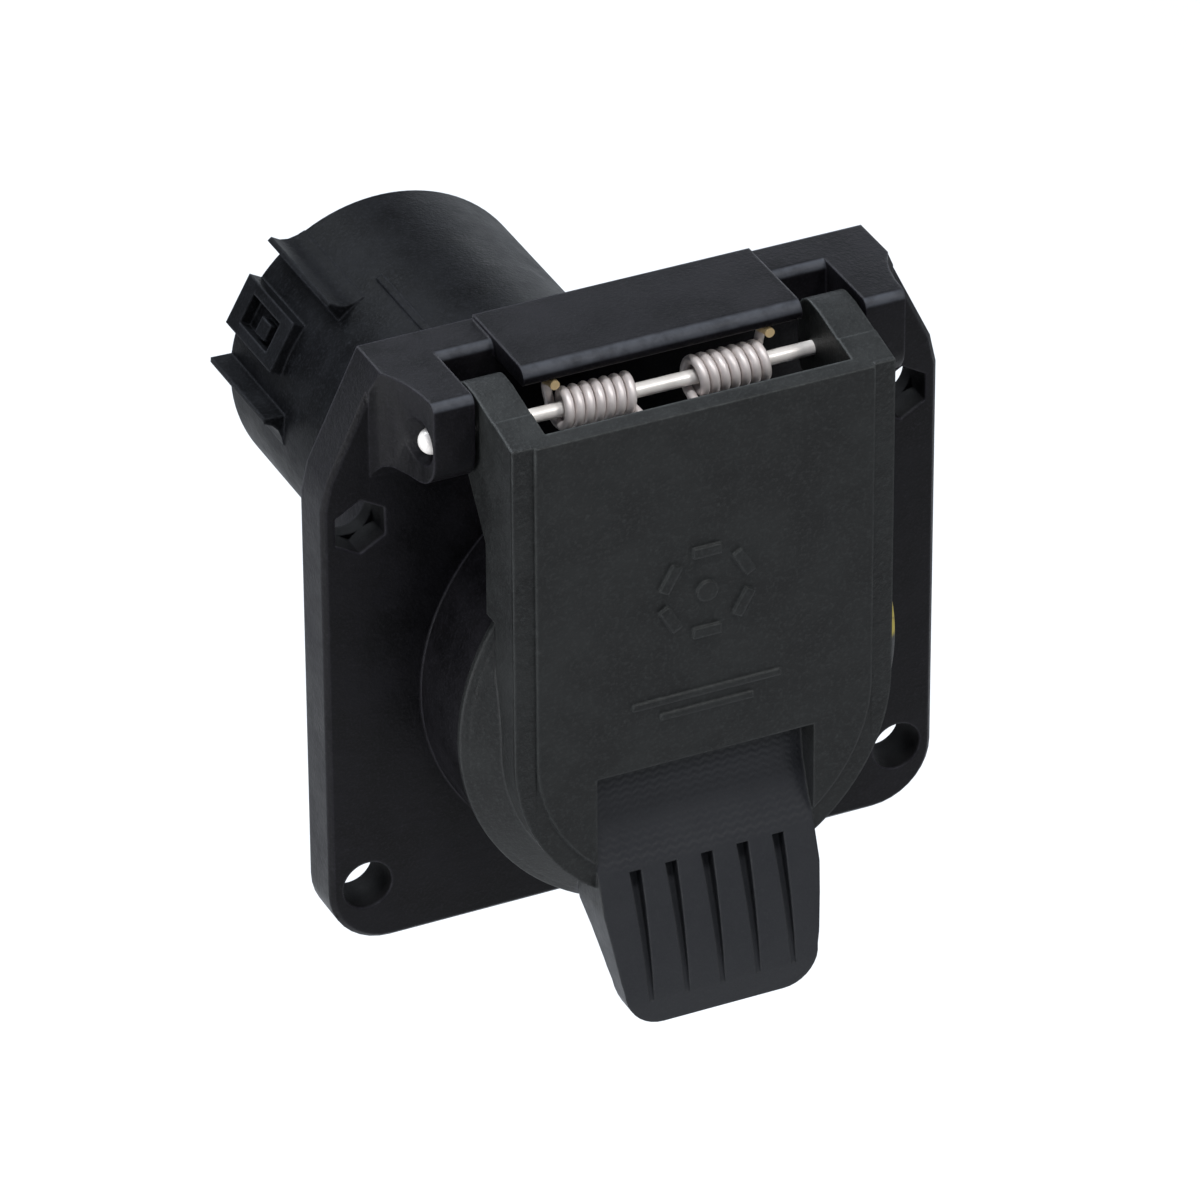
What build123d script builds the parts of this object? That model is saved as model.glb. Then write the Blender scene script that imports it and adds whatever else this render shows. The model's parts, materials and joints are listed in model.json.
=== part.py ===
from build123d import *
import math
import os

# Seven-way round trailer socket, vehicle end, with a spring-loaded hinged lid.
# Millimetres. +Z up, -Y is the open front, +Y is the harness side.
# Origin: centre of the four mounting holes, on the back face of the flange.

# ---- driving dimensions -------------------------------------------------
FLANGE_HALF_W = 33.35
FLANGE_TOP = 38.0
FLANGE_BOTTOM = -27.7
FLANGE_T = 5.0
TOP_CHAMFER_X = 6.2
TOP_CHAMFER_Z = 13.5
BOTTOM_CORNER_R = 6.5
HOLE_X = 29.35
HOLE_Z = 20.85
HOLE_R = 2.65
HEX_R = 3.05
HEX_DEPTH = 3.2

BARREL_R = 23.2
BARREL_FRONT = -14.2
MOUTH_R = 21.6
MOUTH_END = -6.0
CAVITY_R = 20.9
BLOCK_FRONT = 12.0
SEAT_R = 22.0
BACK_BARREL_R = 23.4
BACK_END = 18.0
KEYWAY_W = 5.0
KEYWAY_DEPTH = 1.3

PIN_Y = -11.2
PIN_Z = 32.7
PIN_R = 0.75
PIN_HALF = 25.1
HEAD_R = 1.35
HEAD_X = 24.35
EAR_IN = 20.9
EAR_OUT = 25.2
EAR_FRONT = -13.7
EAR_BOTTOM = 28.0
LIP_R = 1.0
ROOF_HALF = 14.9
ROOF_FRONT = -11.9
ROOF_TOP = 38.4
ROOF_UNDER = 36.45

LID_R = 23.7
LID_BACK = -14.7
LID_DISC_FRONT = -16.8
LID_DISC_RIM = -15.3
LID_SLOPE_END = -19.4
LID_SLOPE_R = 18.4
LID_HALF = 20.4
LID_FRONT = -21.4
LID_WALL = 1.7
BAND_W = 2.3
BAND_DEPTH = 0.3
ARM_IN = 16.3
ARM_END_R = 4.9
ARM_END_Y = 3.1
LID_BORE_R = 0.80
POCKET_FLOOR = 24.4
RECESS_R = 18.2
RECESS_END = -19.2
GASKET_IN = 19.5
GASKET_OUT = 22.9
GASKET_FRONT = -15.7
GASKET_BACK = -14.3
TAB_HALF = 11.8
TAB_TOP = -3.75
TAB_TIP = -31.2

WIRE_R = 0.5
COIL_R = 1.72
COIL_IN = 3.1
COIL_OUT = 11.1
COIL_TURNS = 7.25

SHELL_R = 17.2
SHELL_Z = 2.1
SHELL_BORE_R = 15.2
SHELL_THROAT_R = 14.6
SHELL_END = 56.3
SHELL_STEP = 38.0
SHELL_FLANGE_R = 22.5
GASKET_T = 0.6
SHELL_START = BACK_END + GASKET_T
SHELL_FLANGE_END = SHELL_START + 2.0

BLADE_R = 13.5
BLADE_W = 6.4
BLADE_T = 1.5
BLADE_TIP = -5.0
TAB_R = 8.6
REAR_TAB_W = 4.8
REAR_TAB_T = 0.8
REAR_TAB_END = 37.0
LINK_START = BACK_END + 0.4
LINK_T = 1.2


# ---- helpers ------------------------------------------------------------
def cyl_y(r, y0, y1, x=0.0, z=0.0):
    return Pos(x, (y0 + y1) / 2, z) * Rot(90, 0, 0) * Cylinder(r, abs(y1 - y0))


def cyl_x(r, x0, x1, y=0.0, z=0.0):
    return Pos((x0 + x1) / 2, y, z) * Rot(0, 90, 0) * Cylinder(r, abs(x1 - x0))


def block(x0, x1, y0, y1, z0, z1):
    return Pos((x0 + x1) / 2, (y0 + y1) / 2, (z0 + z1) / 2) * Box(x1 - x0, y1 - y0, z1 - z0)


def prism_y(points, y0, y1):
    """Outline given as (x, z) pairs, extruded from y1 down to y0."""
    face = make_face(Polyline([(x, y1, z) for x, z in points], close=True))
    return extrude(face, amount=y1 - y0, dir=(0, -1, 0))


def prism_x(points, x0, x1):
    """Outline given as (y, z) pairs, extruded from x0 to x1."""
    face = make_face(Polyline([(x0, y, z) for y, z in points], close=True))
    return extrude(face, amount=x1 - x0, dir=(1, 0, 0))


def arc_points(cy, cz, r, a0, a1, n):
    return [(cy + r * math.cos(math.radians(a0 + (a1 - a0) * i / n)),
             cz + r * math.sin(math.radians(a0 + (a1 - a0) * i / n))) for i in range(n + 1)]


def around(shape, angle, z=0.0):
    """Turn a shape made at +X about the Y axis line at height z, anticlockwise from the back."""
    return Pos(0, 0, z) * Rot(0, -angle, 0) * shape


# ---- housing ------------------------------------------------------------
def flange_outline():
    w, t, b, r = FLANGE_HALF_W, FLANGE_TOP, FLANGE_BOTTOM, BOTTOM_CORNER_R
    shoulder = t - TOP_CHAMFER_Z
    half = [(w - TOP_CHAMFER_X, t), (w - 0.7, shoulder + 2.0), (w, shoulder - 1.2)]
    corner = [(w - r + r * math.cos(math.radians(a)), b + r + r * math.sin(math.radians(a)))
              for a in range(0, -91, -10)]
    right = half + corner
    return right + [(-x, z) for x, z in reversed(right)]


def make_flange():
    plate = prism_y(flange_outline(), -FLANGE_T, 0)
    rim = plate.faces().sort_by(Axis.Y)[0].edges()
    return chamfer(rim, 0.5)


def make_ear(side):
    """Pin ear whose outer side and underside sweep out into the flange."""
    root = -FLANGE_T + 0.5
    plan = [(EAR_IN, EAR_FRONT), (EAR_OUT, EAR_FRONT), (25.4, -11.0), (25.8, -9.0), (26.5, -7.0),
            (27.4, -5.5), (28.2, -5.05), (28.2, root), (EAR_IN, root)]
    face = make_face(Polyline([(x, y, 20.0) for x, y in plan], close=True))
    wedge = extrude(face, amount=FLANGE_TOP - 20.0, dir=(0, 0, 1))
    y0, z0, r = EAR_FRONT, EAR_BOTTOM, 3.6
    profile = [(root, FLANGE_TOP)] + arc_points(y0 + LIP_R, FLANGE_TOP - LIP_R, LIP_R, 90, 180, 6)
    profile += arc_points(y0 + r, z0 + r, r, 180, 270, 10)
    profile += [(-6.6, z0 - 0.1), (-5.7, z0 - 0.5), (-5.2, z0 - 1.2), (-5.05, z0 - 1.8), (root, z0 - 1.8)]
    ear = wedge & prism_x(profile, EAR_IN, 31.0) & prism_y(flange_outline(), -20.0, 0)
    cone = Pos(EAR_OUT + 0.1, PIN_Y, PIN_Z) * Rot(0, 90, 0) * Cone(1.45, 3.2, 2.0)
    tail = cyl_x(3.2, EAR_OUT + 1.05, 31.0, PIN_Y, PIN_Z)
    ear = ear - cone - tail
    if side < 0:
        ear = mirror(ear, about=Plane.YZ)
    return ear


def make_roof():
    y0, z0, z1, r = ROOF_FRONT, ROOF_UNDER, ROOF_TOP, 1.3
    profile = [(0, z0), (0, z1), (y0 + r, z1)]
    profile += arc_points(y0 + r, z1 - r, r, 90, 180, 6)[1:]
    profile += [(y0 + 0.1, z0 + 0.25), (y0 + 0.4, z0)]
    roof = prism_x(profile, -ROOF_HALF, ROOF_HALF)
    return roof


def make_housing():
    body = make_flange()
    body = body + cyl_y(BARREL_R, BARREL_FRONT, -FLANGE_T + 0.5)
    body = body + cyl_y(BACK_BARREL_R, -0.5, BACK_END)
    for side in (-1, 1):
        body = body + make_ear(side)
    # rounded lips where the arm slots run back into the flange's top edge
    lip = [(-FLANGE_T - 0.2, FLANGE_TOP + 0.2), (-FLANGE_T + LIP_R, FLANGE_TOP + 0.2)]
    lip += arc_points(-FLANGE_T + LIP_R, FLANGE_TOP - LIP_R, LIP_R, 90, 180, 6)
    lip += [(-FLANGE_T - 0.2, FLANGE_TOP - LIP_R)]
    body = body - prism_x(lip, -EAR_IN, -ROOF_HALF + 0.1) - prism_x(lip, ROOF_HALF - 0.1, EAR_IN)
    body = body + make_roof()
    # gussets between the back barrel and the flange
    for angle in (35, 145, 215, 325):
        rib = prism_x([(-0.3, 0), (7.0, 0), (-0.3, 6.0)], -0.8, 0.8)
        rib = Pos(0, 0, BACK_BARREL_R - 0.4) * rib
        body = body + Rot(0, angle - 90, 0) * rib
    body = body - cyl_y(MOUTH_R, BARREL_FRONT - 1, MOUTH_END)
    body = body - cyl_y(CAVITY_R, MOUTH_END - 1, BLOCK_FRONT + 1)
    body = body - cyl_y(SEAT_R, BLOCK_FRONT, BACK_END + 1)
    keyway_top = CAVITY_R + KEYWAY_DEPTH
    body = body - block(-KEYWAY_W / 2, KEYWAY_W / 2, BARREL_FRONT - 1, 8.0, 18.0, keyway_top)
    for sx in (-1, 1):
        for sz in (-1, 1):
            body = body - cyl_y(HOLE_R, -FLANGE_T - 1, 1, sx * HOLE_X, sz * HOLE_Z)
        hexagon = [(sx * HOLE_X + HEX_R * math.cos(math.radians(60 * k + 30)),
                    HOLE_Z + HEX_R * math.sin(math.radians(60 * k + 30))) for k in range(6)]
        body = body - prism_y(hexagon, -FLANGE_T - 1, -FLANGE_T + HEX_DEPTH)
    body = body - cyl_x(PIN_R, -EAR_OUT, EAR_OUT, PIN_Y, PIN_Z)
    return body


# ---- lid ----------------------------------------------------------------
def u_block(half, top, y0, y1):
    # a true cylinder for the round bottom, a box above it
    low = cyl_y(half, y0, y1) & block(-half - 1, half + 1, y0 - 1, y1 + 1, -half - 1, 0.5)
    return low + block(-half, half, y0, y1, 0, top)


TAB_FRONT_CURVE = [(-18.3, -3.75), (-18.4, -6.0), (-18.9, -9.0), (-19.9, -12.0), (-21.4, -15.0),
                   (-22.7, -18.5), (-23.8, -22.0), (-24.7, -25.5), (-25.3, -28.5), (-25.5, -31.2)]
TAB_BACK_CURVE = [(-24.0, -31.2), (-22.7, -28.5), (-20.9, -25.3), (-18.8, -22.5), (-16.7, -20.3),
                  (-16.7, -14.0), (-17.5, -3.75)]


def make_tab():
    side = prism_x(TAB_FRONT_CURVE + TAB_BACK_CURVE, -TAB_HALF, TAB_HALF)
    r, w0, w1 = 4.0, TAB_HALF, 10.6
    front = [(w0, -3.0), (w0, -19.0), (w1 + 0.25, TAB_TIP + r + 1.2)]
    front += [(w1 - r + r * math.cos(math.radians(a)), TAB_TIP + r + r * math.sin(math.radians(a)))
              for a in range(0, -91, -10)]
    outline = front + [(-x, z) for x, z in reversed(front)]
    tab = side & prism_y(outline, -30, -10)
    for k in range(-2, 3):
        x = 3.9 * k
        depth = prism_x([(-30, -15.4), (-20.0, -15.4), (-21.3, -18.5), (-22.8, -22.0), (-24.1, -25.5),
                         (-25.2, -28.6), (-30, -28.6)], x - 1, x + 1)
        width = prism_y([(x - 0.25, -29), (x - 0.65, -15.4), (x - 0.45, -15.0), (x + 0.45, -15.0),
                         (x + 0.65, -15.4), (x + 0.25, -29)], -30, -15)
        tab = tab - (depth & width)
    return tab


def make_mark():
    """Generic low-relief mark: a centre dot inside six short bars, and two plain strips below."""
    y0, y1 = LID_FRONT - 0.35, LID_FRONT + 0.3
    zc = 15.0
    mark = cyl_y(1.1, y0, y1, 0, zc)
    for k in range(6):
        bar = block(4.0, 5.1, y0, y1, -1.5, 1.5)
        mark = mark + Pos(0, 0, zc) * Rot(0, 60 * k + 30, 0) * bar
    mark = mark + block(-8.0, 8.0, y0 + 0.1, y1, 3.2, 3.9) + block(-5.0, 5.0, y0 + 0.1, y1, 1.4, 2.1)
    return mark


def make_lid():
    top = FLANGE_TOP
    body = u_block(LID_HALF, top, LID_FRONT, LID_DISC_FRONT + 0.1)
    edge = LID_HALF + 1
    band = block(-edge, edge, LID_FRONT - 1, LID_FRONT + BAND_DEPTH, -edge, top)
    body = body - (band - u_block(LID_HALF - BAND_W, top + 1, LID_FRONT - 2, LID_FRONT + BAND_DEPTH + 1))
    body = body - block(-ARM_IN, ARM_IN, LID_FRONT + LID_WALL, LID_DISC_FRONT + 1, POCKET_FLOOR, top + 1)
    # side arms that reach back around the hinge pin
    arm = [(LID_FRONT + 0.6, 35.5), (PIN_Y - 1.2, PIN_Z + ARM_END_R - 0.12)]
    arm += arc_points(PIN_Y + ARM_END_Y - ARM_END_R / 2, PIN_Z + ARM_END_R / 2, ARM_END_R / 2, 90, 0, 8)
    arm += arc_points(PIN_Y + ARM_END_Y - 2.0, PIN_Z - 2.0, 2.0, 0, -90, 6)
    arm += [(LID_BACK, 22.0), (LID_BACK, 14.0), (LID_FRONT + 0.6, 14.0)]
    for x0, x1 in ((-LID_HALF, -ARM_IN), (ARM_IN, LID_HALF)):
        body = body + prism_x(arm, x0, x1)
    # sloping top of the front wall and arms
    slope = [(LID_FRONT - 2, 35.05), (PIN_Y - 1.2, PIN_Z + ARM_END_R), (PIN_Y + 8, PIN_Z + ARM_END_R + 0.02),
             (PIN_Y + 8, 45), (LID_FRONT - 2, 45)]
    body = body - prism_x(slope, -30, 30)
    # closing disc with a thin rim and a face that slopes up to the box
    rise = LID_DISC_RIM - LID_SLOPE_END
    slope = Pos(0, LID_DISC_RIM - rise / 2, 0) * Rot(90, 0, 0) * Cone(LID_R, LID_SLOPE_R, rise)
    body = body + cyl_y(LID_R, LID_DISC_RIM, LID_BACK) + (slope & block(-30, 30, -30, 0, -30, 30))
    # cored inside face with two stiffening ribs
    recess = cyl_y(RECESS_R, RECESS_END, LID_BACK + 1) & block(-30, 30, -30, 0, -3.0, 30)
    recess = recess - block(-0.7, 0.7, -30, 0, -30, 30) - block(-30, 30, -30, -16.2, 9.3, 10.7)
    body = body - recess
    body = body - (cyl_y(GASKET_OUT + 0.05, GASKET_FRONT, LID_BACK + 1) - cyl_y(GASKET_IN - 0.05, -30, 0))
    # thumb scoop, then the lifting tab
    body = body - block(-TAB_HALF, TAB_HALF, LID_FRONT - 1, -17.6, -30, TAB_TOP)
    body = body + make_tab()
    body = body - cyl_x(LID_BORE_R, -30, 30, PIN_Y, PIN_Z)
    return body + make_mark()


def make_lid_gasket():
    return cyl_y(GASKET_OUT, GASKET_FRONT, GASKET_BACK) - cyl_y(GASKET_IN, -30, 0)


# ---- hinge --------------------------------------------------------------
def make_pin():
    """Plain steel pin whose ends are domed over in the recesses of the ears."""
    pin = cyl_x(PIN_R, -PIN_HALF + 0.5, PIN_HALF - 0.5, PIN_Y, PIN_Z)
    for side in (-1, 1):
        dome = Pos(side * HEAD_X, PIN_Y, PIN_Z) * Sphere(HEAD_R)
        x0, x1 = sorted((side * HEAD_X, side * (HEAD_X + 3)))
        pin = pin + (dome & block(x0, x1, PIN_Y - 3, PIN_Y + 3, PIN_Z - 3, PIN_Z + 3))
    return pin


def make_spring(side):
    """Close-wound torsion spring: one leg rests under the roof, the other presses the lid's front wall."""
    length = COIL_OUT - COIL_IN
    wire = [(COIL_IN - 0.5, -19.05, 27.8), (COIL_IN - 0.5, -17.0, 29.1), (COIL_IN - 0.4, -14.8, 30.3),
            (COIL_IN - 0.2, -13.0, 30.85)]
    steps = int(COIL_TURNS * 12)
    for i in range(steps + 1):
        a = math.radians(-90 + 360 * COIL_TURNS * i / steps)
        wire.append((COIL_IN + length * i / steps,
                     PIN_Y + COIL_R * math.cos(a), PIN_Z + COIL_R * math.sin(a)))
    x = COIL_OUT + 0.4
    wire += [(x - 0.25, PIN_Y + 1.75, 33.5), (x, PIN_Y + 1.75, 34.6), (x, PIN_Y + 1.45, 35.4),
             (x, PIN_Y + 0.7, 35.78), (x, PIN_Y - 0.5, 35.8)]
    path = Spline(wire)
    spring = sweep(Plane(origin=path @ 0, z_dir=path % 0) * Circle(WIRE_R), path=path)
    if side < 0:
        spring = mirror(spring, about=Plane.YZ)
    return spring


# ---- contacts -----------------------------------------------------------
TERMINALS = {
    "terminal_battery_feed": 30,
    "terminal_right_turn": 90,
    "terminal_brake": 150,
    "terminal_ground": 210,
    "terminal_left_turn": 270,
    "terminal_tail_light": 330,
}


def make_blade(angle):
    a = math.radians(angle)
    blade = around(block(BLADE_R - BLADE_T / 2, BLADE_R + BLADE_T / 2, BLADE_TIP, LINK_START + LINK_T,
                         -BLADE_W / 2, BLADE_W / 2), angle)
    nose = around(block(BLADE_R - 3, BLADE_R + 3, BLADE_TIP - 1, BLADE_TIP + 1.6, -BLADE_W, BLADE_W), angle)
    keep = around(prism_y([(BLADE_R - 2, -BLADE_W / 2 + 1.2), (BLADE_R + 2, -BLADE_W / 2 + 1.2),
                           (BLADE_R + 2, BLADE_W / 2 - 1.2), (BLADE_R - 2, BLADE_W / 2 - 1.2)],
                          BLADE_TIP - 2, BLADE_TIP + 2), angle)
    blade = blade - (nose - keep)
    fx, fz = BLADE_R * math.cos(a), BLADE_R * math.sin(a)
    rx, rz = TAB_R * math.cos(a), SHELL_Z + TAB_R * math.sin(a)
    tx, tz = -math.sin(a), math.cos(a)
    h0, h1 = 2.4, REAR_TAB_W / 2
    ox, oz = 0.7 * math.cos(a), 0.7 * math.sin(a)
    link = prism_y([(fx + ox + tx * h0, fz + oz + tz * h0), (fx + ox - tx * h0, fz + oz - tz * h0),
                    (rx - ox / 2 - tx * h1, rz - oz / 2 - tz * h1),
                    (rx - ox / 2 + tx * h1, rz - oz / 2 + tz * h1)],
                   LINK_START, LINK_START + LINK_T)
    tail = around(block(TAB_R - REAR_TAB_T / 2, TAB_R + REAR_TAB_T / 2, LINK_START, REAR_TAB_END,
                        -REAR_TAB_W / 2, REAR_TAB_W / 2), angle, SHELL_Z)
    return blade + link + tail


def make_center_terminal():
    pin = cyl_y(2.0, BLADE_TIP + 1.0, BLOCK_FRONT - 1.0)
    pin = fillet(pin.edges().filter_by(GeomType.CIRCLE).sort_by(Axis.Y)[0], 1.2)
    pin = pin + cyl_y(1.6, BLOCK_FRONT - 1.5, LINK_START + LINK_T)
    link = block(-1.6, 1.6, LINK_START, LINK_START + LINK_T, -1.4, SHELL_Z + 0.8)
    tail = block(-1.6, 1.6, LINK_START, REAR_TAB_END, SHELL_Z - 0.4, SHELL_Z + 0.4)
    return pin + link + tail


def make_contact_block():
    body = cyl_y(SEAT_R - 0.1, BLOCK_FRONT, BACK_END)
    body = body + cyl_y(5.0, BLOCK_FRONT - 3.0, BLOCK_FRONT + 1)
    body = body - cyl_y(2.05, BLOCK_FRONT - 4, BLOCK_FRONT - 0.95) - cyl_y(1.65, BLOCK_FRONT - 1, BACK_END + 1)
    boss = block(BLADE_R - 2.0, BLADE_R + 2.0, BLOCK_FRONT - 1.5, BLOCK_FRONT + 1, -4.4, 4.4)
    half_t, half_w = BLADE_T / 2 + 0.05, BLADE_W / 2 + 0.05
    slot = block(BLADE_R - half_t, BLADE_R + half_t, BLOCK_FRONT - 4, BACK_END + 1, -half_w, half_w)
    for angle in TERMINALS.values():
        body = body + around(boss, angle)
    for angle in TERMINALS.values():
        body = body - around(slot, angle)
    return body


def make_retainer():
    y0 = LINK_START + LINK_T + 0.4
    body = cyl_y(SHELL_THROAT_R - 0.1, y0, y0 + 5.0, 0, SHELL_Z)
    for angle in TERMINALS.values():
        slot = around(block(TAB_R - REAR_TAB_T / 2 - 0.05, TAB_R + REAR_TAB_T / 2 + 0.05, y0 - 1, y0 + 6,
                            -REAR_TAB_W / 2 - 0.05, REAR_TAB_W / 2 + 0.05), angle, SHELL_Z)
        body = body - slot
    return body - block(-1.65, 1.65, y0 - 1, y0 + 6, SHELL_Z - 0.45, SHELL_Z + 0.45)


# ---- rear shell ---------------------------------------------------------
def make_rear_shell():
    body = cyl_y(SHELL_FLANGE_R, SHELL_START, SHELL_FLANGE_END)
    body = body + cyl_y(SHELL_R, SHELL_START, SHELL_END, 0, SHELL_Z)
    # two guard fins either side of the latch block, hollow on the side away from it
    for angle, start, away in ((128, 41.2, -1), (174.5, 42.4, 1)):
        r = SHELL_R
        section = [(r - 0.8, -1.0), (r + 2.3, -0.8), (r + 2.3, -0.25), (r + 1.3, 0.15),
                   (r + 0.6, 0.8), (r + 0.15, 1.7), (r - 0.1, 2.6), (r - 0.8, 2.6)]
        fin = prism_y([(x, away * z) for x, z in section], start, SHELL_END)
        body = body + around(fin, angle, SHELL_Z)
    # latch block with its window
    latch = block(SHELL_R - 1.0, SHELL_R + 1.25, 45.0, SHELL_END, -2.9, 2.9)
    body = body + around(latch, 151, SHELL_Z)
    # long locating rib
    body = body + around(block(SHELL_R - 0.5, SHELL_R + 0.35, SHELL_START + 1, 42.4, -0.4, 0.4), 111, SHELL_Z)
    body = body - cyl_y(SHELL_BORE_R, SHELL_STEP, SHELL_END + 1, 0, SHELL_Z)
    body = body - cyl_y(SHELL_THROAT_R, SHELL_START - 1, SHELL_STEP + 1, 0, SHELL_Z)
    body = body - (cyl_y(16.6, SHELL_START - 1, LINK_START + LINK_T + 0.3))
    window = block(SHELL_R - 0.1, SHELL_R + 4, 47.2, 54.0, -1.7, 1.7)
    body = body - around(window, 151, SHELL_Z)
    nub = block(SHELL_R - 0.8, SHELL_R + 0.9, 49.0, 51.2, -0.6, 1.2)
    body = body + around(nub, 151, SHELL_Z)
    return body


def make_shell_gasket():
    return cyl_y(SHELL_FLANGE_R - 0.1, BACK_END, SHELL_START) - cyl_y(19.5, 0, 40)


def make_connector_seal():
    return cyl_y(SHELL_THROAT_R - 0.05, 33.6, 36.4, 0, SHELL_Z) - cyl_y(12.4, 0, 60, 0, SHELL_Z)


# ---- write the parts ----------------------------------------------------
def main():
    os.makedirs("parts", exist_ok=True)
    shapes = {
        "housing": make_housing(),
        "rear_shell": make_rear_shell(),
        "shell_gasket": make_shell_gasket(),
        "contact_block": make_contact_block(),
        "terminal_center": make_center_terminal(),
        "terminal_retainer": make_retainer(),
        "connector_seal": make_connector_seal(),
        "lid": make_lid(),
        "lid_gasket": make_lid_gasket(),
        "hinge_pin": make_pin(),
        "spring_left": make_spring(-1),
        "spring_right": make_spring(1),
    }
    for name, angle in TERMINALS.items():
        shapes[name] = make_blade(angle)
    for name, shape in shapes.items():
        print(name, len(shape.solids()), round(shape.volume, 1), shape.is_valid)
        export_step(shape, "parts/" + name + ".step")


main()
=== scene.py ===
import json
import math

import bmesh
import bpy
from mathutils import Matrix, Vector
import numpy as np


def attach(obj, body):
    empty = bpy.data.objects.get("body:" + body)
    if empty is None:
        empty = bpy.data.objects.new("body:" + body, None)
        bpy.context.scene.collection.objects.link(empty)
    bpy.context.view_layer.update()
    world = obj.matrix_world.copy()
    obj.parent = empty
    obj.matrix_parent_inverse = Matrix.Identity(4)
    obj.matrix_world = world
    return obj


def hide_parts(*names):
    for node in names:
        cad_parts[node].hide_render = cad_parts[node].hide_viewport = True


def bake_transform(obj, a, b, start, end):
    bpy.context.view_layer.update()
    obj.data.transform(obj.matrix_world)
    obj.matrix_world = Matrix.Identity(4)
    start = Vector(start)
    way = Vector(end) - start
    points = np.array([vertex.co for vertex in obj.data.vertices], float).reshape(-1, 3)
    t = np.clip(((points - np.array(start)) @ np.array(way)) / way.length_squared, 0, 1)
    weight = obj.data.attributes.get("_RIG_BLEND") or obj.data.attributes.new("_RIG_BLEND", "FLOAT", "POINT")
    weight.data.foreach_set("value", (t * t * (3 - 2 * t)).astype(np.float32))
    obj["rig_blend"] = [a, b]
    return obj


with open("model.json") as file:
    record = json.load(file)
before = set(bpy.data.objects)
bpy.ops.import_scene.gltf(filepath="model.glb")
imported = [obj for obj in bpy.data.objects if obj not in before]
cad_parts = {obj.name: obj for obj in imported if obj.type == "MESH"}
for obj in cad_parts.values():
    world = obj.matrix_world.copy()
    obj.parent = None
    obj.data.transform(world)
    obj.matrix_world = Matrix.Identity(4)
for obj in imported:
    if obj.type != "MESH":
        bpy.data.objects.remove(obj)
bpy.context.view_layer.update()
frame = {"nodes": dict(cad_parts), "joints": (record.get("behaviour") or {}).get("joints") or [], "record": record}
MM = 0.001

# Blender dressing for the CAD frame of a round trailer socket with a sprung lid.
# Every visible piece stands for one CAD node; the frame gives its place, body and slot.
HINGE = Vector(frame["joints"][0]["pos_m"])
FLANGE_T = 5.0 * MM


# ---- node helpers ----------------------------------------------------------
class Net:
    """Small helper that builds a shader node tree in few lines."""

    def __init__(self, name):
        self.mat = bpy.data.materials.new(name)
        self.mat.use_nodes = True
        self.tree = self.mat.node_tree
        self.bsdf = self.tree.nodes["Principled BSDF"]
        self.coord = self.tree.nodes.new("ShaderNodeTexCoord").outputs["Object"]

    def put(self, socket, value):
        if isinstance(value, bpy.types.NodeSocket):
            self.tree.links.new(value, socket)
        else:
            socket.default_value = value

    def math(self, op, a, b=0.0, c=0.0, clamp=False):
        n = self.tree.nodes.new("ShaderNodeMath")
        n.operation, n.use_clamp = op, clamp
        for i, v in enumerate((a, b, c)):
            self.put(n.inputs[i], v)
        return n.outputs[0]

    def noise(self, per_mm, detail=3.0, rough=0.55, stretch=None):
        n = self.tree.nodes.new("ShaderNodeTexNoise")
        n.inputs["Scale"].default_value = per_mm / MM
        n.inputs["Detail"].default_value = detail
        n.inputs["Roughness"].default_value = rough
        vector = self.coord
        if stretch:
            m = self.tree.nodes.new("ShaderNodeMapping")
            m.inputs["Scale"].default_value = stretch
            self.tree.links.new(self.coord, m.inputs["Vector"])
            vector = m.outputs[0]
        self.tree.links.new(vector, n.inputs["Vector"])
        return n.outputs["Fac"]

    def remap(self, value, a, b, c=0.0, d=1.0, smooth=False):
        n = self.tree.nodes.new("ShaderNodeMapRange")
        if smooth:
            n.interpolation_type = "SMOOTHSTEP"
        for i, v in enumerate((value, a, b, c, d)):
            self.put(n.inputs[i], v)
        return n.outputs[0]

    def mix(self, fac, a, b):
        n = self.tree.nodes.new("ShaderNodeMix")
        n.data_type = "RGBA"
        self.put(n.inputs[0], fac)
        self.put(n.inputs[6], a)
        self.put(n.inputs[7], b)
        return n.outputs[2]

    def bump(self, height, strength, distance, normal=None):
        n = self.tree.nodes.new("ShaderNodeBump")
        n.inputs["Strength"].default_value = strength
        n.inputs["Distance"].default_value = distance
        self.put(n.inputs["Height"], height)
        if normal is not None:
            self.put(n.inputs["Normal"], normal)
        return n.outputs[0]

    def bevel(self, radius):
        n = self.tree.nodes.new("ShaderNodeBevel")
        n.samples = 6
        n.inputs["Radius"].default_value = radius
        return n.outputs[0]

    def facing(self, direction):
        """Cosine between the surface normal and a direction (a socket or three numbers)."""
        geo = self.tree.nodes.new("ShaderNodeNewGeometry")
        n = self.tree.nodes.new("ShaderNodeVectorMath")
        n.operation = "DOT_PRODUCT"
        self.put(n.inputs[0], direction)
        self.tree.links.new(geo.outputs["Normal"], n.inputs[1])
        return n.outputs["Value"]

    def edge(self, radius, low=0.02, high=0.25):
        """1 near a sharp edge, 0 on a flat face."""
        return self.remap(self.math("SUBTRACT", 1.0, self.facing(self.bevel(radius))), low, high)

    def axis(self, name):
        n = self.tree.nodes.new("ShaderNodeSeparateXYZ")
        self.tree.links.new(self.coord, n.inputs[0])
        return n.outputs["XYZ".index(name)]

    def product(self, *factors):
        result = factors[0]
        for factor in factors[1:]:
            result = self.math("MULTIPLY", result, factor)
        return result

    def finish(self, colour, roughness, normal):
        for socket, value in (("Base Color", colour), ("Roughness", roughness), ("Normal", normal)):
            self.put(self.bsdf.inputs[socket], value)
        return self.mat


def grey(v, tint=(1.0, 1.0, 1.0)):
    return (v * tint[0], v * tint[1], v * tint[2], 1.0)


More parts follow.
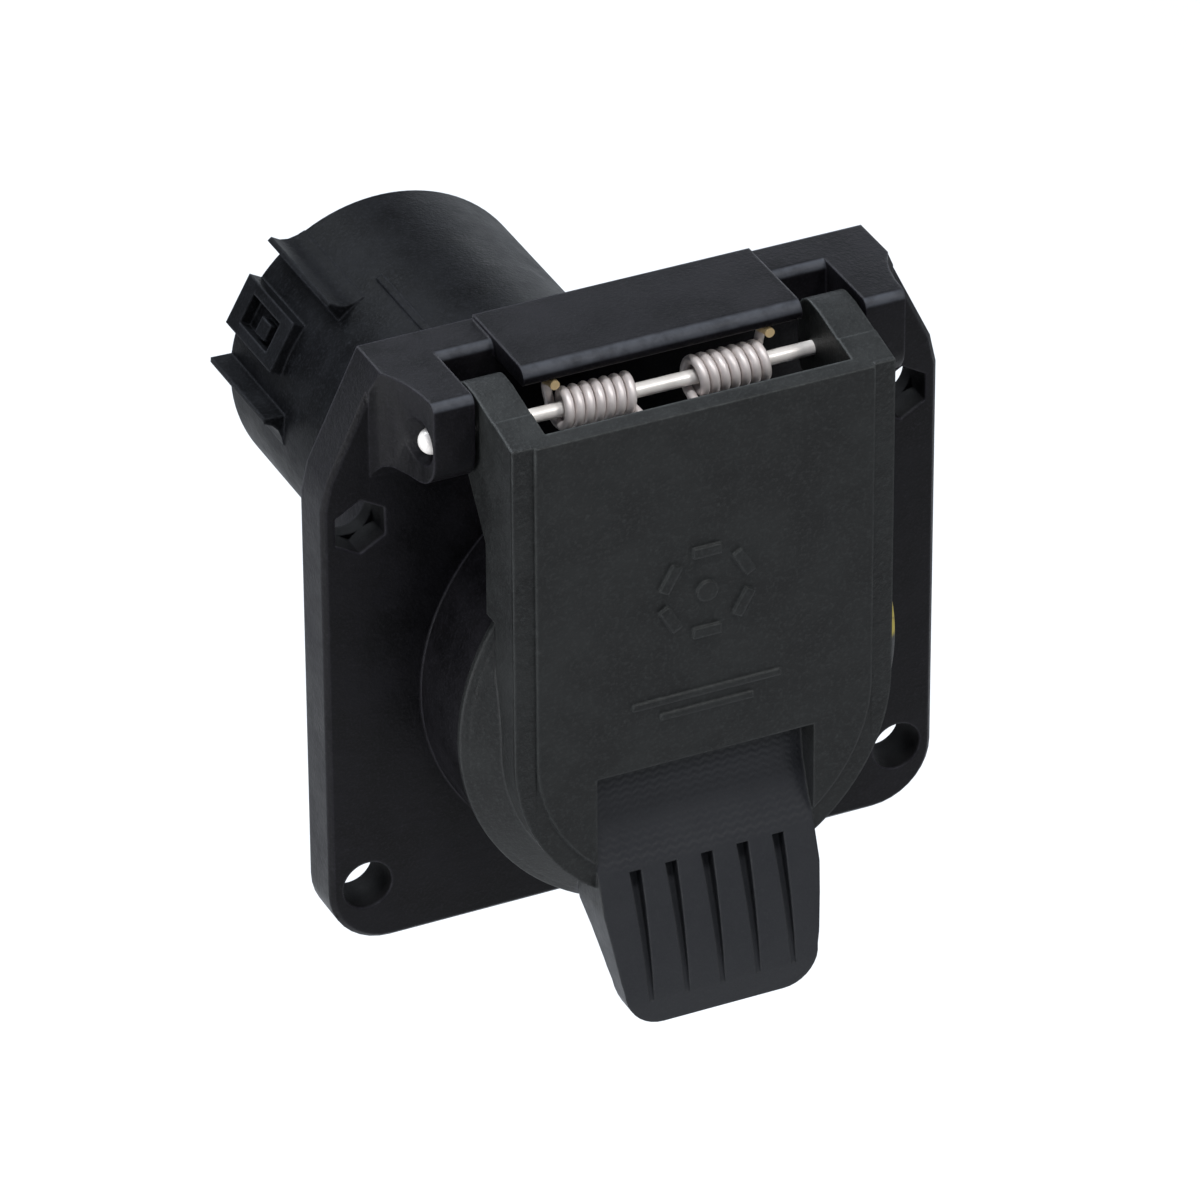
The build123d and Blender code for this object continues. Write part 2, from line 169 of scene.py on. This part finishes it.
def band(net, value, low, high, soft):
    """1 where low < value < high, with soft ends; all lengths in millimetres."""
    up = net.remap(value, (low - soft) * MM, (low + soft) * MM, smooth=True)
    down = net.remap(value, (high - soft) * MM, (high + soft) * MM, 1.0, 0.0, smooth=True)
    return net.math("MULTIPLY", up, down)


def ramp(net, value, start, end, smooth=False):
    """0 before start, 1 past end (either may be the larger); lengths in millimetres."""
    return net.remap(value, start * MM, end * MM, smooth=smooth)


# ---- materials --------------------------------------------------------------
# places on the lid and the housing, in millimetres of the CAD frame
# z range where edges are painted palest: a painted highlight from light above
TOP_EDGE_SHEEN_Z = (31.0, 35.0)
SCOOP_Z, SCOOP_HALF_X, SCOOP_Y = (-15.2, -5.2), 11.3, (-21.9, -21.3)
CHEVRON_X, CHEVRON_Z, CHEVRON_SLANT = 0.62, 0.72, 0.45
# where the scoop and tab are painted paler: a painted highlight of light from above
LIT_SCOOP_Z, LIT_SCOOP_X = (-4.6, -7.5), (11.85, 11.7)
SIDE_BAND_X, SIDE_BAND_Y = (18.1, 18.3), (-20.6, -20.9)
PAINT_Z, PAINT_X = (0.2, 5.2), (22.2, 22.6)
# z range of the painted highlight on the rounded top-front lips
LIP_HIGHLIGHT_Z = (35.6, 36.4)
HOLE_Y, HOLE_Z, HOLE_X_IN, HOLE_X_OUT = (-4.85, -4.6), (24.2, 24.0), (25.6, 25.8), (32.8, 32.6)
UP_AND_FORWARD = (0.0, -0.7071, 0.7071)


def moulded_black(name, base, tint, rough=0.42, edge_sheen_low=0.7, gloss=0.26, extra=None):
    """Moulded black nylon: fine grain, cloudy gloss, faint scuffs, and paler edges that are partly wear and partly
    a painted highlight.

    Edges near the hinge, at the top, are painted palest: a painted highlight where light from above catches them.
    """
    net = Net(name)
    cloud = net.noise(0.16, 6.0, 0.62)
    grain = net.noise(3.2, 2.0, 0.6)
    speck = net.noise(1.3, 5.0, 0.7)
    streak = net.noise(0.55, 3.0, 0.6, (0.5, 1.0, 1.5))
    edge = net.edge(0.45 * MM)
    broken = net.remap(speck, 0.38, 0.62)
    # paler edges: partly wear, partly a painted highlight along the rounded edges
    worn_and_sheen_edge = net.math("MULTIPLY", edge, net.math("MULTIPLY_ADD", broken, 0.6, 0.4), clamp=True)
    dark = net.mix(net.remap(cloud, 0.38, 0.66), grey(base * 0.6, tint), grey(base * 1.6, tint))
    gritty = net.mix(net.remap(grain, 0.50, 0.70, 0.0, 0.6), dark, grey(base * 2.6, tint))
    dusty = net.mix(net.remap(speck, 0.60, 0.74, 0.0, 0.55), gritty, grey(base * 4.0, tint))
    # edges are painted paler still towards the top: a painted highlight from light above
    top_edge_sheen = net.remap(net.axis("Z"), TOP_EDGE_SHEEN_Z[0] * MM, TOP_EDGE_SHEEN_Z[1] * MM, edge_sheen_low, 1.0)
    colour = net.mix(net.math("MULTIPLY", worn_and_sheen_edge, top_edge_sheen), dusty, grey(base * 9.0, tint))
    roughness = net.math("ADD", net.remap(cloud, 0.3, 0.7, rough - 0.06, rough + 0.08),
                         net.remap(streak, 0.45, 0.75, 0.0, 0.06))
    height = net.math("ADD", net.math("MULTIPLY", grain, 0.6), net.math("MULTIPLY", speck, 0.9))
    normal = net.bump(height, 0.65, 0.07 * MM, net.bevel(0.42 * MM))
    if extra:
        colour, roughness, normal = extra(net, colour, roughness, normal)
    net.bsdf.inputs["Specular IOR Level"].default_value = gloss
    return net.finish(colour, roughness, normal)


def lid_extra(net, colour, roughness, normal):
    """Chevron tooling on the thumb scoop, a scoop and tab painted paler as a painted highlight, rough side bands,
    a yellow paint mark.
    """
    x, y, z = net.axis("X"), net.axis("Y"), net.axis("Z")
    off_centre = net.math("ABSOLUTE", x)
    # chevrons
    scoop = net.product(band(net, z, *SCOOP_Z, 0.5), band(net, x, -SCOOP_HALF_X, SCOOP_HALF_X, 0.2),
                        ramp(net, y, *SCOOP_Y))
    zig = net.math("PINGPONG", net.math("DIVIDE", x, CHEVRON_X * MM), 1.0)
    row = net.math("MULTIPLY_ADD", zig, CHEVRON_SLANT, net.math("DIVIDE", z, CHEVRON_Z * MM))
    wave = net.math("SINE", net.math("MULTIPLY", row, 2 * math.pi))
    normal = net.bump(net.math("MULTIPLY", wave, scoop), 0.3, 0.045 * MM, normal)
    # the scoop and the tab are painted paler: a painted highlight where they catch light from above
    lit_scoop = net.product(ramp(net, z, *LIT_SCOOP_Z, smooth=True), ramp(net, off_centre, *LIT_SCOOP_X))
    colour = net.mix(net.math("MULTIPLY", lit_scoop, 0.7), colour, (0.026, 0.027, 0.031, 1.0))
    # rough cast-like side bands of the front face
    side = net.product(ramp(net, off_centre, *SIDE_BAND_X), ramp(net, y, *SIDE_BAND_Y))
    normal = net.bump(net.math("MULTIPLY", net.noise(1.1, 4.0, 0.7), side), 0.6, 0.28 * MM, normal)
    # yellow paint mark on the rim of the disc at the right
    mark = net.product(band(net, z, *PAINT_Z, 0.5), ramp(net, x, *PAINT_X),
                       net.remap(net.noise(0.8, 3.0), 0.36, 0.46), 0.9)
    return net.mix(mark, colour, (0.42, 0.33, 0.03, 1.0)), roughness, normal


def housing_extra(net, colour, roughness, normal):
    """Paler rounded lips along the top front of the roof, the ears and the slots: a painted highlight where they
    face up and forward.
    """
    lip_highlight = net.product(net.remap(net.facing(UP_AND_FORWARD), 0.78, 0.96, smooth=True),
                      ramp(net, net.axis("Z"), *LIP_HIGHLIGHT_Z),
                      net.remap(net.noise(0.7, 4.0), 0.30, 0.60, 0.55, 1.0), 0.9)
    colour = net.mix(lip_highlight, colour, (0.060, 0.064, 0.074, 1.0))
    # darker inside the mounting holes and their pockets: painted shade, with duller plastic there as well
    x = net.math("ABSOLUTE", net.axis("X"))
    z = net.math("ABSOLUTE", net.axis("Z"))
    shaded_hole = net.product(ramp(net, net.axis("Y"), *HOLE_Y), ramp(net, z, *HOLE_Z),
                       ramp(net, x, *HOLE_X_IN), ramp(net, x, *HOLE_X_OUT))
    colour = net.mix(net.math("MULTIPLY", shaded_hole, 0.7), colour, (0.001, 0.001, 0.001, 1.0))
    return colour, net.math("MULTIPLY_ADD", shaded_hole, 0.32, roughness), normal


def rubber(name):
    """Dull black seal rubber."""
    net = Net(name)
    cloud = net.noise(0.3, 3.0)
    return net.finish(net.mix(cloud, grey(0.010), grey(0.028)), net.remap(cloud, 0.3, 0.7, 0.55, 0.75),
                      net.bump(net.noise(2.4, 3.0), 0.3, 0.05 * MM))


def metal(name, low, high, rough, along, scratch=0.2, metallic=1.0):
    """Drawn or stamped metal with fine marks along one direction and slight tarnish."""
    net = Net(name)
    cloud = net.noise(0.5, 4.0)
    marks = net.noise(1.6, 3.0, 0.6, along)
    edge = net.edge(0.15 * MM)
    tone = net.mix(net.remap(cloud, 0.35, 0.7), low, high)
    # sharp edges are painted towards the light tone: a painted edge highlight
    tone = net.mix(net.math("MULTIPLY", edge, 0.4), tone, high)
    net.bsdf.inputs["Metallic"].default_value = metallic
    return net.finish(tone, net.remap(marks, 0.3, 0.75, rough - 0.07, rough + 0.14),
                      net.bump(marks, scratch, 0.02 * MM))


def spring_wire():
    """Grey drawn wire; the cut ends of the outer legs show a warmer brass tone."""
    net = Net("spring_wire")
    cloud = net.noise(0.7, 3.0)
    marks = net.noise(2.5, 3.0)
    high = net.remap(net.axis("Z"), HINGE.z + 2.3 * MM, HINGE.z + 2.7 * MM)
    warm = net.math("MULTIPLY", high, ramp(net, net.math("ABSOLUTE", net.axis("X")), 9.6, 10.0))
    grey_tone = net.mix(cloud, (0.60, 0.55, 0.53, 1.0), (0.88, 0.82, 0.80, 1.0))
    net.bsdf.inputs["Metallic"].default_value = 0.35
    return net.finish(net.mix(warm, grey_tone, (0.85, 0.64, 0.34, 1.0)),
                      net.remap(marks, 0.3, 0.7, 0.42, 0.58), net.bump(marks, 0.15, 0.02 * MM))


COOL = (0.92, 0.97, 1.12)
MATERIALS = {
    "black_housing": moulded_black("housing_plastic", 0.0042, (1.0, 0.94, 1.18), 0.44, 0.9, 0.13,
                                   housing_extra),
    "black_shell": moulded_black("shell_plastic", 0.0048, COOL, 0.44, 0.6, 0.035),
    "black_lid": moulded_black("lid_plastic", 0.0085, (0.92, 1.0, 0.98), 0.48, 0.5, 0.24, lid_extra),
    "insulator": moulded_black("insulator_plastic", 0.012, (1.0, 1.0, 1.0), 0.5, 0.4),
    "seal_rubber": rubber("seal_rubber"),
    "terminal_brass": metal("terminal_brass", (0.50, 0.36, 0.15, 1), (0.80, 0.62, 0.30, 1),
                            0.28, (1, 0.15, 1)),
    "pin_steel": metal("pin_steel", (0.80, 0.76, 0.72, 1), (0.95, 0.92, 0.88, 1),
                       0.36, (0.1, 1, 1), 0.2, 0.2),
    "spring_steel": spring_wire(),
}
SLOT_OF = {row["node"]: row["material_slot"] for row in frame["record"]["subparts"]}
BODY_OF = {n: body for body, nodes in frame["record"]["behaviour"]["bodies"].items() for n in nodes}


# ---- pieces -------------------------------------------------------------------
def add_object(name, data):
    obj = bpy.data.objects.new(name, data)
    bpy.context.scene.collection.objects.link(obj)
    return obj


def finish_piece(obj, node):
    """Give a new piece its finish and its body, and hide the CAD node that it stands for."""
    obj.data.materials.clear()
    obj.data.materials.append(MATERIALS[SLOT_OF[node]])
    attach(obj, BODY_OF[node])
    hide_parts(node)


def smooth_by_angle(mesh, degrees):
    mesh.shade_smooth()
    mesh.set_sharp_from_angle(angle=math.radians(degrees))


def skin(node, bevel_mm=0.0):
    """The CAD shape with joined faces, smooth rounds and, where asked, small edge radii."""
    mesh = frame["nodes"][node].data.copy()
    bm = bmesh.new()
    bm.from_mesh(mesh)
    bmesh.ops.remove_doubles(bm, verts=bm.verts, dist=0.002 * MM)
    bm.to_mesh(mesh)
    bm.free()
    for name in [a.name for a in mesh.attributes if a.name == "custom_normal"]:
        mesh.attributes.remove(mesh.attributes[name])
    smooth_by_angle(mesh, 32)
    obj = add_object(node + "_skin", mesh)
    if bevel_mm:
        mod = obj.modifiers.new("edges", "BEVEL")
        mod.width, mod.segments = bevel_mm * MM, 2
        mod.limit_method, mod.angle_limit = "ANGLE", math.radians(40)
        mod.use_clamp_overlap, mod.harden_normals = True, True
        mod.miter_outer = "MITER_ARC"
    finish_piece(obj, node)


# the springs' driving sizes, as in the CAD; the legs' points are in millimetres
WIRE_R, COIL_R = 0.5 * MM, 1.72 * MM
COIL_IN, COIL_OUT, TURNS = 3.1 * MM, 11.1 * MM, 7.25
# x is measured from the coil's inner end
INNER_LEG = ((-0.5, -19.05, 27.8), (-0.5, -17.0, 29.1), (-0.4, -14.8, 30.3), (-0.2, -13.0, 30.85))
# x is measured from just past the coil's outer end, y and z from the hinge line
OUTER_LEG = ((-0.25, 1.75, 0.8), (0, 1.75, 1.9), (0, 1.45, 2.7), (0, 0.7, 3.08), (0, -0.5, 3.1))


def spring(side):
    """A torsion spring: round wire swept along its coil and both legs."""
    path = [Vector((COIL_IN + dx * MM, y * MM, z * MM)) for dx, y, z in INNER_LEG]
    steps = int(TURNS * 20)
    for i in range(steps + 1):
        a = math.radians(-90 + 360 * TURNS * i / steps)
        x = COIL_IN + (COIL_OUT - COIL_IN) * i / steps
        path.append(Vector((x, HINGE.y + COIL_R * math.cos(a), HINGE.z + COIL_R * math.sin(a))))
    x = COIL_OUT + 0.4 * MM
    for dx, dy, dz in OUTER_LEG:
        path.append(Vector((x + dx * MM, HINGE.y + dy * MM, HINGE.z + dz * MM)))
    data = bpy.data.curves.new("wire", "CURVE")
    data.dimensions, data.bevel_depth, data.bevel_resolution = "3D", WIRE_R, 5
    data.resolution_u, data.use_fill_caps = 3, True
    line = data.splines.new("NURBS")
    line.points.add(len(path) - 1)
    for point, p in zip(line.points, path):
        point.co = (side * p.x, p.y, p.z, 1.0)
    line.order_u, line.use_endpoint_u = 4, True
    holder = add_object("wire", data)
    bpy.context.view_layer.update()
    swept = holder.evaluated_get(bpy.context.evaluated_depsgraph_get())
    mesh = bpy.data.meshes.new_from_object(swept)
    bpy.data.objects.remove(holder)
    node = "spring_right" if side > 0 else "spring_left"
    obj = add_object(node + "_wire", mesh)
    smooth_by_angle(mesh, 50)
    mesh.materials.clear()
    mesh.materials.append(MATERIALS["spring_steel"])
    # the outer leg stays with the socket, the inner leg turns with the lid, the coil twists between
    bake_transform(obj, "socket", "lid", start=(side * COIL_OUT, HINGE.y, HINGE.z),
             end=(side * COIL_IN, HINGE.y, HINGE.z))
    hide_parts(node)


# edge radii of the big mouldings, in millimetres
BEVELS = {"housing": 0.25, "lid": 0.22, "rear_shell": 0.2}
for node_name in sorted(frame["nodes"]):
    if not node_name.startswith("spring_"):
        skin(node_name, BEVELS.get(node_name, 0.0))
for one_side in (-1, 1):
    spring(one_side)


# ---- camera, light and floor -----------------------------------------------
AZIMUTH, ELEVATION, ROLL = math.radians(-25.003), math.radians(32.063), math.radians(-0.333)
DISTANCE, AIM_X, AIM_Z = 0.923559, -0.003425, 0.003878
LENS = 279.45
COOL_WHITE, NEUTRAL, WARM_WHITE = (0.88, 0.94, 1.0), (0.97, 0.98, 1.0), (1.0, 0.98, 0.95)
# name, place in metres, diameter, watts, colour
LIGHTS = (
    ("key", (-0.20, 0.60, 0.80), 0.60, 12.0, COOL_WHITE),
    ("back", (0.63, 0.77, 0.12), 0.50, 1.8, COOL_WHITE),
    ("overhead", (-0.12, -0.28, 0.95), 0.22, 5.5, NEUTRAL),
    ("side", (-0.85, -0.12, -0.04), 0.40, 4.6, NEUTRAL),
    ("fill", (0.42, -0.64, 0.80), 0.30, 4.2, WARM_WHITE),
)
FLOOR_Z = -0.22


def make_camera():
    back = Vector((math.sin(AZIMUTH) * math.cos(ELEVATION), -math.cos(AZIMUTH) * math.cos(ELEVATION),
                   math.sin(ELEVATION)))
    right = Vector((math.cos(AZIMUTH), math.sin(AZIMUTH), 0.0))
    up = back.cross(right)
    right, up = (right * math.cos(ROLL) + up * math.sin(ROLL),
                 up * math.cos(ROLL) - right * math.sin(ROLL))
    place = Vector((0, -FLANGE_T, 0)) + right * AIM_X + up * AIM_Z + back * DISTANCE
    data = bpy.data.cameras.new("camera")
    data.lens, data.sensor_width = LENS, 36.0
    data.clip_start, data.clip_end = 0.01, 20.0
    obj = add_object("camera", data)
    obj.rotation_mode = "QUATERNION"
    turn = Matrix((right, up, back)).transposed()
    obj.rotation_quaternion = turn.to_quaternion()
    obj.location = place
    bpy.context.scene.camera = obj


def soft_light(name, place, size, power, colour):
    data = bpy.data.lights.new(name, "AREA")
    data.shape, data.size, data.energy, data.color = "DISK", size, power, colour
    obj = add_object(name, data)
    obj.location = Vector(place)
    obj.rotation_mode = "QUATERNION"
    obj.rotation_quaternion = (-Vector(place)).to_track_quat("-Z", "Y")


def make_stage():
    bpy.ops.mesh.primitive_plane_add(size=6.0, location=(0, 0, FLOOR_Z))
    floor = bpy.context.object
    floor.name = "floor"
    net = Net("pale_floor")
    net.put(net.bsdf.inputs["Base Color"], net.mix(net.noise(0.002, 2.0), grey(0.69), grey(0.73)))
    net.bsdf.inputs["Roughness"].default_value = 0.9
    floor.data.materials.append(net.mat)
    world = bpy.data.worlds.new("studio")
    world.use_nodes = True
    world.node_tree.nodes["Background"].inputs["Color"].default_value = (0.80, 0.86, 1.0, 1.0)
    world.node_tree.nodes["Background"].inputs["Strength"].default_value = 0.30
    bpy.context.scene.world = world
    for light in LIGHTS:
        soft_light(*light)
    bpy.context.scene.view_settings.view_transform = "Standard"


make_camera()
make_stage()
